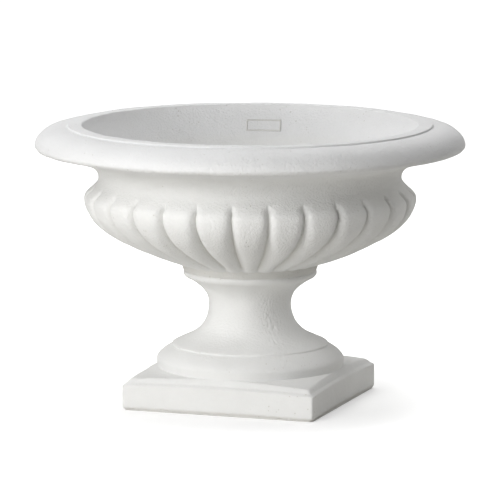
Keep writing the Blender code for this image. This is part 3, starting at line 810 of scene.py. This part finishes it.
# %% Foot: the turned outline
def foot_section():
    """Return the turned outline from the collar's top down to the plinth."""
    widest_z = torus_foot_z + TORUS_BELT_HEIGHT
    torus_top = widest_z + TORUS_ROUND_HEIGHT
    fillet_top = torus_top + FILLET_HEIGHT
    waist_z = fillet_top + FLARE_HEIGHT
    collar_z = waist_z + STEM_TOP_HEIGHT
    groove = TORUS_RADIUS - TORUS_TOP_INSET - FILLET_GROOVE
    fillet = TORUS_RADIUS - TORUS_TOP_INSET - FILLET_INSET
    flare = fillet - FILLET_INSET
    under_collar = SEAT_RADIUS - COLLAR_UNDERCUT
    collar = SEAT_RADIUS + COLLAR_OVERHANG
    torus = curve((TORUS_RADIUS, widest_z), (groove, torus_top), (0, 0.31), (0.49, 0.715))
    lower_stem = curve((flare, fillet_top), (WAIST_RADIUS, waist_z), (0.34, 0.15), (1, 0.29), 40)
    upper_stem = curve((WAIST_RADIUS, waist_z), (under_collar, collar_z), (0, 0.45), (0.35, 0.7), 40)
    going_up = [
        *torus, (fillet, torus_top + 0.3 * FILLET_HEIGHT), (fillet, torus_top + 0.7 * FILLET_HEIGHT),
        *lower_stem, *upper_stem[1:], (SEAT_RADIUS, collar_z + 0.08 * COLLAR_HEIGHT),
        (collar, collar_z + 0.38 * COLLAR_HEIGHT), (collar, collar_z + 0.62 * COLLAR_HEIGHT),
        (SEAT_RADIUS, foot_top)]
    return np.array(going_up)[::-1]


# %% Foot: the plinth under each column
BOTTOM_BOW_SHARE = 0.4
EDGE_ROWS = 5


def square_radius(angle, half, corner):
    """Return how far out a square with rounded corners lies at an angle."""
    folded = fold(angle, math.pi / 2)
    flat = half / math.cos(folded)
    if flat * math.sin(folded) <= half - corner:
        return flat
    along = (half - corner) * (math.cos(folded) + math.sin(folded))
    return along + math.sqrt(max(along ** 2 - 2 * (half - corner) ** 2 + corner ** 2, 0.0))


def bow(angle):
    """Return how far the face's lines rise here: most half way along a side."""
    return SIDE_BOW * (1 - math.tan(fold(angle, math.pi / 2)) ** 2)


def plinth_column(angle):
    """Return one column from the torus's foot, over the plinth's edge and under it."""
    face_r = square_radius(angle, plinth_half, CORNER_RADIUS)
    crease_r = square_radius(angle, plinth_half - SHOULDER_WIDTH, CORNER_RADIUS)
    inner_r = square_radius(angle, plinth_half - SHOULDER_WIDTH - RISER_WIDTH, CORNER_RADIUS)
    base_r = square_radius(
        angle, plinth_half - BOTTOM_EDGE_SETBACK, CORNER_RADIUS + BOTTOM_CORNER_WEAR)
    face_z = FACE_HEIGHT + bow(angle)
    crease_z = face_z + SHOULDER_RISE

    def top_z(radius):
        return torus_foot_z - TOP_PITCH * (radius - TORUS_RADIUS)

    def surface_z(radius):
        if radius <= inner_r:
            return top_z(radius)
        share = (radius - inner_r) / (crease_r - inner_r)
        return top_z(inner_r) - (top_z(inner_r) - crease_z) * share ** 1.3

    foot_r = TORUS_RADIUS - TORUS_BELT_TAPER
    edge_r = max(inner_r, foot_r + 0.0004)
    belt_top = torus_foot_z + TORUS_BELT_HEIGHT
    column = [
        (TORUS_RADIUS - TORUS_BELT_TAPER * share, belt_top + (surface_z(foot_r) - belt_top) * share)
        for share in (0.25, 0.5, 0.75, 1.0)]
    column += [(r, surface_z(r)) for r in np.linspace(foot_r, edge_r, 9)[1:]]
    column += [(r, surface_z(r)) for r in np.linspace(edge_r, crease_r, 7)[1:]]
    for share in (0.3, 0.6, 0.85, 1.0):
        column.append((crease_r + (face_r - crease_r) * share, crease_z - SHOULDER_RISE * share ** 1.7))
    bottom_z = BOTTOM_EDGE_HEIGHT + BOTTOM_BOW_SHARE * bow(angle)
    column += [(face_r, face_z + (bottom_z - face_z) * share) for share in np.linspace(0.06, 1, 12)]
    for share in (0.25, 0.5, 0.75, 1.0):
        column.append((face_r + (base_r - face_r) * share ** 1.5, bottom_z * (1 - share)))
    return column, base_r


# %% Foot: loft it
FLAT_COLUMNS = 100
CORNER_COLUMNS = 8
RECESS_DEPTH = 0.0240
RECESS_RADIUS = 0.0245
SOCKET_RADIUS = 0.0310
SOCKET_DEPTH = 0.0114
UNDER_RINGS = 10
flat_span = math.atan((plinth_half - CORNER_RADIUS) / plinth_half)
quarter = np.concatenate([
    np.linspace(-flat_span, flat_span, FLAT_COLUMNS, endpoint=False),
    np.linspace(flat_span, math.pi / 2 - flat_span, CORNER_COLUMNS, endpoint=False)])
angles = np.concatenate([quarter + math.pi / 2 * side for side in range(4)])
stem = resample(foot_section(), 0.0016, 0.0006)
collar_top = [(SOCKET_RADIUS + width, foot_top) for width in (0, 0.015, 0.03)]
columns = []
for angle in angles:
    outer, base_r = plinth_column(angle)
    under = [(r, 0.0) for r in np.linspace(base_r, RECESS_RADIUS, UNDER_RINGS)[1:]]
    core = [
        (RECESS_RADIUS, RECESS_DEPTH), (BORE_RADIUS, RECESS_DEPTH),
        (BORE_RADIUS, foot_top - SOCKET_DEPTH), (SOCKET_RADIUS, foot_top - SOCKET_DEPTH)]
    columns.append([*collar_top, *stem, *outer, *under, *core])
radii, heights = np.array(columns).transpose(2, 1, 0)
by_row = np.stack([radii * np.cos(angles), radii * np.sin(angles), heights], 2)[:, ::-1]
foot = loft("foot_casting", list(by_row))
rows = np.repeat(np.arange(len(by_row)), len(angles))
under_first = len(collar_top) + len(stem) + len(outer)
paint(foot, "free", (rows > len(collar_top)) & (rows < under_first - 1))
# The rough bottom rows are also darkened in colour, as painted shade on the strip that faces down.
paint(foot, "rough", (rows >= under_first - EDGE_ROWS) & (rows < under_first))
FOOT_PATCHES = [
    (0.0326, -0.0356, 0.1210, 0.008), (0.0342, -0.0331, 0.1090, 0.010),
    (0.0392, -0.0335, 0.0941, 0.013), (0.0492, -0.0485, 0.0773, 0.012),
    (0.0614, -0.0665, 0.0671, 0.008), (0.0711, -0.0771, 0.0555, 0.008),
    (0.0729, -0.0789, 0.0420, 0.010)]
paint(foot, "lumpy", crumbled(by_row.reshape(-1, 3), FOOT_PATCHES))
paint(foot, "painted_shade", np.zeros(len(rows)))
foot = apply_trees(foot, [(unevenness, {"Seed": 8.0, "Material": rubbed_concrete})])

# %% [markdown]
# ## Small parts
#
# The tube is cut with a helical thread, the nuts are chamfered hexagons, and the washers have the
# slightly rolled edge of a punched ring. They are out of sight when the urn is planted, but they
# show from below and inside.

# %% Geometry Nodes: thread
THREAD_PITCH = 0.001814
THREAD_DEPTH = 0.0009


def build_thread():
    """Cut a helical thread into the outside of a turned tube."""
    tree, given, place = geometry_tree("pipe_thread", {"Pitch": THREAD_PITCH, "Depth": THREAD_DEPTH})
    x, y, z = add(tree, "ShaderNodeSeparateXYZ", {0: place}).outputs
    turns = maths(tree, "SUBTRACT", maths(tree, "DIVIDE", z, given["Pitch"]), turn_of(tree, x, y))
    ridge = between(tree, zigzag(tree, maths(tree, "ADD", turns, 1.0)), 0.1, 0.9)
    depth = product(tree, ridge, given["Depth"], -1.0, read_attribute(tree, "threaded"))
    flat = add(tree, "ShaderNodeCombineXYZ", {0: x, 1: y, 2: 0.0}).outputs[0]
    outward = vector_maths(tree, "NORMALIZE", {0: flat})
    end_tree(tree, given, move_along(tree, given["Geometry"], outward, depth))
    return tree


pipe_thread = build_thread()

# %% Tie tube
TUBE_WALL = 0.0032
TUBE_CHAMFER = 0.0008
THREADED_LENGTH = 0.026
THREAD_COLUMNS = 96
bottom, top = tube_low.z, tube_high.z
ring_heights = np.concatenate([
    np.arange(bottom + TUBE_CHAMFER, bottom + THREADED_LENGTH, THREAD_PITCH / 6),
    np.linspace(bottom + THREADED_LENGTH, top - THREADED_LENGTH, 8),
    np.arange(top - THREADED_LENGTH + THREAD_PITCH / 6, top - TUBE_CHAMFER, THREAD_PITCH / 6)])
bore = tube_radius - TUBE_WALL
section = [(bore, bottom), (tube_radius - TUBE_CHAMFER, bottom)]
section += [(tube_radius, z) for z in ring_heights]
section += [(tube_radius - TUBE_CHAMFER, top), (bore, top)]
tube = turned("threaded_tube", section, THREAD_COLUMNS)
ring_z = np.array([z for _, z in section])
threaded = np.abs(ring_z - (bottom + top) / 2) > (top - bottom) / 2 - THREADED_LENGTH
threaded[[0, 1, -2, -1]] = False
paint(tube, "threaded", np.repeat(threaded, THREAD_COLUMNS))
tube = apply_trees(tube, [(pipe_thread, {"Material": zinc_plating})])

# %% Nuts and washers
ROUND_COLUMNS = 144
NUT_ACROSS_FLATS = 0.0360
NUT_CHAMFER = 0.0008
NUT_FACE_INSET = 0.0004
WASHER_CHAMFER = 0.0003
HOLE_RADIUS = tube_radius + 0.0002


def make_ring(node, outside, chamfer):
    """Make a part from its outside, round a hole whose edges are chamfered."""
    low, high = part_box(node)
    section = [(HOLE_RADIUS, low.z + chamfer), (HOLE_RADIUS + chamfer, low.z), *outside]
    section += [(HOLE_RADIUS + chamfer, high.z), (HOLE_RADIUS, high.z - chamfer)]
    return turned(node + "_fine", section, ROUND_COLUMNS)


def make_nut(node):
    """Make a hexagon nut whose corners are turned off at 30 degrees on both faces."""
    low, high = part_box(node)
    angles = np.arange(ROUND_COLUMNS) * 2 * math.pi / ROUND_COLUMNS
    to_flat = NUT_ACROSS_FLATS / 2 / np.cos(math.pi / 6 - fold(angles, math.pi / 3))
    face_r = NUT_ACROSS_FLATS / 2 - NUT_FACE_INSET
    drop = np.maximum(to_flat - face_r, 0) * math.tan(math.radians(30))
    outside = [(face_r, low.z), (to_flat, low.z + drop), (to_flat, high.z - drop), (face_r, high.z)]
    return make_ring(node, outside, NUT_CHAMFER)


def make_washer(node, rolled):
    """Make a flat ring whose outer edge is rolled over by a small radius."""
    low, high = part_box(node)
    middle = (low.z + high.z) / 2
    half = (high.z - low.z) / 2
    edge = [
        (high.x - rolled + rolled * math.cos(turn), middle + half * math.sin(turn))
        for turn in np.radians(np.linspace(-90, 90, 9))]
    return make_ring(node, edge, WASHER_CHAMFER)


small_parts = {name: make_nut(name) for name in ("upper_nut", "lower_nut")}
small_parts.update({name: make_washer(name, 0.0006) for name in ("upper_washer", "lower_washer")})
small_parts["sealing_washer"] = make_washer("sealing_washer", 0.0012)
print("small parts:", sorted(small_parts))

# %% [markdown]
# ## The mortar bed and the plug
#
# The bed is squeezed out unevenly between the castings, so its edge wanders. The plug is a moulded
# rubber stopper: a tapered body, a flange that stops on the tube and a knob to pull.

# %% Mortar bed
BED_COLUMNS = 256
BED_GAP = 0.001
BED_ROUGHNESS = 0.4
bed_low, bed_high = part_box("bedding_ring")
bed_inner = SOCKET_RADIUS + BED_GAP
edge = bezier(
    (SEAT_RADIUS + 0.0014, foot_top - 0.0022), (SEAT_RADIUS + 0.0032, foot_top - 0.0002),
    (SEAT_RADIUS + 0.0036, seat_z + 0.0012), (SEAT_RADIUS + 0.0046, seat_z + 0.0045), 8)
mortar = turned("mortar_bed", [(bed_inner, bed_low.z), *edge, (bed_inner, bed_high.z)], BED_COLUMNS)
squeezed = np.repeat([False] + [True] * len(edge) + [False], BED_COLUMNS)
paint(mortar, "free", squeezed)
# Its roughness also darkens the squeezed edge a little, as painted shade in the joint.
paint(mortar, "rough", BED_ROUGHNESS * squeezed)
paint(mortar, "painted_shade", np.zeros(len(squeezed)))
mortar = apply_trees(mortar, [
    (unevenness, {"Broad depth": 0.0, "Small depth": 0.0, "Rough depth": 0.0006, "Seed": 5.0,
                  "Material": bedding_mortar})])

# %% Drain plug
PLUG_COLUMNS = 72
PLUG_CLEARANCE = 0.0004
PLUG_DEPTH = 0.0160
FLANGE_THICKNESS = 0.0030
KNOB_RADIUS = 0.0088
KNOB_STALK_RADIUS = 0.0045
KNOB_STALK_HEIGHT = 0.0040
flange_z = plug_low.z + PLUG_DEPTH
flange_r = plug_high.x
body_r = bore - PLUG_CLEARANCE
knob_z = flange_z + FLANGE_THICKNESS + KNOB_STALK_HEIGHT
plug_section = [
    (body_r - 0.0016, plug_low.z), (body_r - 0.0008, plug_low.z + 0.0008), (body_r, flange_z - 0.0004),
    (body_r, flange_z), (flange_r - 0.0004, flange_z), (flange_r, flange_z + 0.0006),
    (flange_r, flange_z + 0.0016), (flange_r - 0.0010, flange_z + FLANGE_THICKNESS),
    (KNOB_STALK_RADIUS + 0.0020, flange_z + FLANGE_THICKNESS),
    (KNOB_STALK_RADIUS, flange_z + FLANGE_THICKNESS + 0.0012),
    *bezier(
        (KNOB_STALK_RADIUS, knob_z), (KNOB_RADIUS, knob_z + 0.0012),
        (KNOB_RADIUS, plug_high.z - 0.0006), (0.0020, plug_high.z))]
plug_rings = [circle(radius, z, PLUG_COLUMNS) for radius, z in resample(plug_section, 0.0005, 0.0003)]
plug_rings = [np.array([[0, 0, plug_low.z]]), *plug_rings, np.array([[0, 0, plug_high.z]])]
plug = loft("rubber_plug", plug_rings, closed=False)

# %% [markdown]
# ## Ride, replace and finish
#
# Each fine mesh rides on the body of the solid that it stands for, and hides that solid.

# %% Put the pieces on the frame
SHARP_ANGLE = math.radians(40)


def dress(piece, node, body, material):
    """Give a fine mesh its finish, and let it stand for a solid."""
    piece.data.materials.clear()
    piece.data.materials.append(material)
    piece.data.set_sharp_from_angle(angle=SHARP_ANGLE)
    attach(piece, body)
    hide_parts(node)


dress(bowl, "bowl", "planter", white_concrete)
dress(foot, "foot", "planter", rubbed_concrete)
dress(mortar, "bedding_ring", "planter", bedding_mortar)
dress(tube, "tie_tube", "planter", zinc_plating)
for name in ("upper_nut", "lower_nut", "upper_washer", "lower_washer"):
    dress(small_parts[name], name, "planter", zinc_plating)
dress(small_parts["sealing_washer"], "sealing_washer", "planter", dusty_rubber)
dress(plug, "drain_plug", "plug", dusty_rubber)

# %% [markdown]
# ## Studio
#
# A white sweep lit from the front left by three soft lamps. Three more stand behind, the highest of
# them as strong as the main one, and keep the far edges from going grey. Weak ones at the right and
# above open the shadows. The floor adds a little light of its own for the camera alone, so that it
# goes to white away from the urn and still shows the urn's shadow.

# %% Camera
CAMERA_AZIMUTH = math.radians(19.25)
CAMERA_DISTANCE = 4.921
CAMERA_HEIGHT = 0.931
CAMERA_PITCH = math.radians(8.73)
SENSOR_MM = 36.0
LENS_MM = 309.0
camera_data = bpy.data.cameras.new("camera")
camera_data.sensor_width = SENSOR_MM
camera_data.lens = LENS_MM
camera = put("camera", camera_data)
camera.location = (
    CAMERA_DISTANCE * math.sin(CAMERA_AZIMUTH), -CAMERA_DISTANCE * math.cos(CAMERA_AZIMUTH), CAMERA_HEIGHT)
camera.rotation_euler = (math.pi / 2 - CAMERA_PITCH, 0.0, CAMERA_AZIMUTH)
bpy.context.scene.camera = camera

# %% Floor and world
FLOOR_HALF = 6.0
FLOOR_SHADOW_REACH = 0.16
FLOOR_WHITE_REACH = 0.36
FLOOR_GLOW = 0.35
floor_mesh = bpy.data.meshes.new("floor")
floor_mesh.from_pydata([(FLOOR_HALF * x, FLOOR_HALF * y, 0) for x, y in SQUARE], [], [(0, 1, 2, 3)])
floor = put("floor", floor_mesh)
floor_material, tree, shader = start_material("floor")
shader.inputs["Roughness"].default_value = 0.9
path = tree.nodes.new("ShaderNodeLightPath").outputs
tints = {0: path["Is Camera Ray"], 6: (0.76, 0.748, 0.715, 1), 7: (0.74, 0.74, 0.74, 1)}
tint = add(tree, "ShaderNodeMix", tints, data_type="RGBA").outputs[2]
connect(tree, tint, shader.inputs["Base Color"])
from_urn = off_axis(tree, tree.nodes.new("ShaderNodeTexCoord").outputs["Object"])
glow = between(tree, from_urn, FLOOR_SHADOW_REACH, FLOOR_WHITE_REACH, FLOOR_GLOW, 1.0)
shader.inputs["Emission Color"].default_value = (1, 1, 1, 1)
connect(tree, product(tree, path["Is Camera Ray"], glow), shader.inputs["Emission Strength"])
floor_mesh.materials.append(floor_material)

world = bpy.data.worlds.new("world")
bpy.context.scene.world = world
world.use_nodes = True
tree = world.node_tree
path = tree.nodes.new("ShaderNodeLightPath").outputs
seen = maths(tree, "MAXIMUM", path["Is Camera Ray"], path["Is Glossy Ray"])
seen = maths(tree, "MAXIMUM", seen, path["Is Transmission Ray"])
background = tree.nodes["Background"]
background.inputs["Color"].default_value = (1, 1, 1, 1)
connect(tree, seen, background.inputs["Strength"])

# %% Lamps
LAMP_DISTANCE = 2.4
LAMP_AIM_HEIGHT = 0.2
LAMP_SIZE = 1.0


def soft_lamp(name, bearing, elevation, power):
    """Add a square lamp that looks at the bowl; its bearing is counted to the camera's left."""
    lamp_data = bpy.data.lights.new(name, "AREA")
    lamp_data.size = LAMP_SIZE
    lamp_data.energy = power
    lamp = put(name, lamp_data)
    turn = CAMERA_AZIMUTH - math.radians(bearing)
    rise = math.radians(elevation)
    level = LAMP_DISTANCE * math.cos(rise)
    height = LAMP_AIM_HEIGHT + LAMP_DISTANCE * math.sin(rise)
    lamp.location = (level * math.sin(turn), -level * math.cos(turn), height)
    lamp.rotation_euler = (math.pi / 2 - rise, 0.0, turn)


lamps = {
    "key_high": (35, 30, 25.5), "key_low": (55, 10, 14.5), "key_front": (20, 12, 10.5),
    "back": (180, 50, 25.0), "back_left": (140, 45, 12.0), "back_right": (-118, 22, 15.0),
    "right": (-60, 42, 1.5), "top": (0, 60, 4.0)}
for name, (bearing, elevation, power) in lamps.items():
    soft_lamp(name, bearing, elevation, power)
bpy.context.scene.view_settings.view_transform = "Standard"
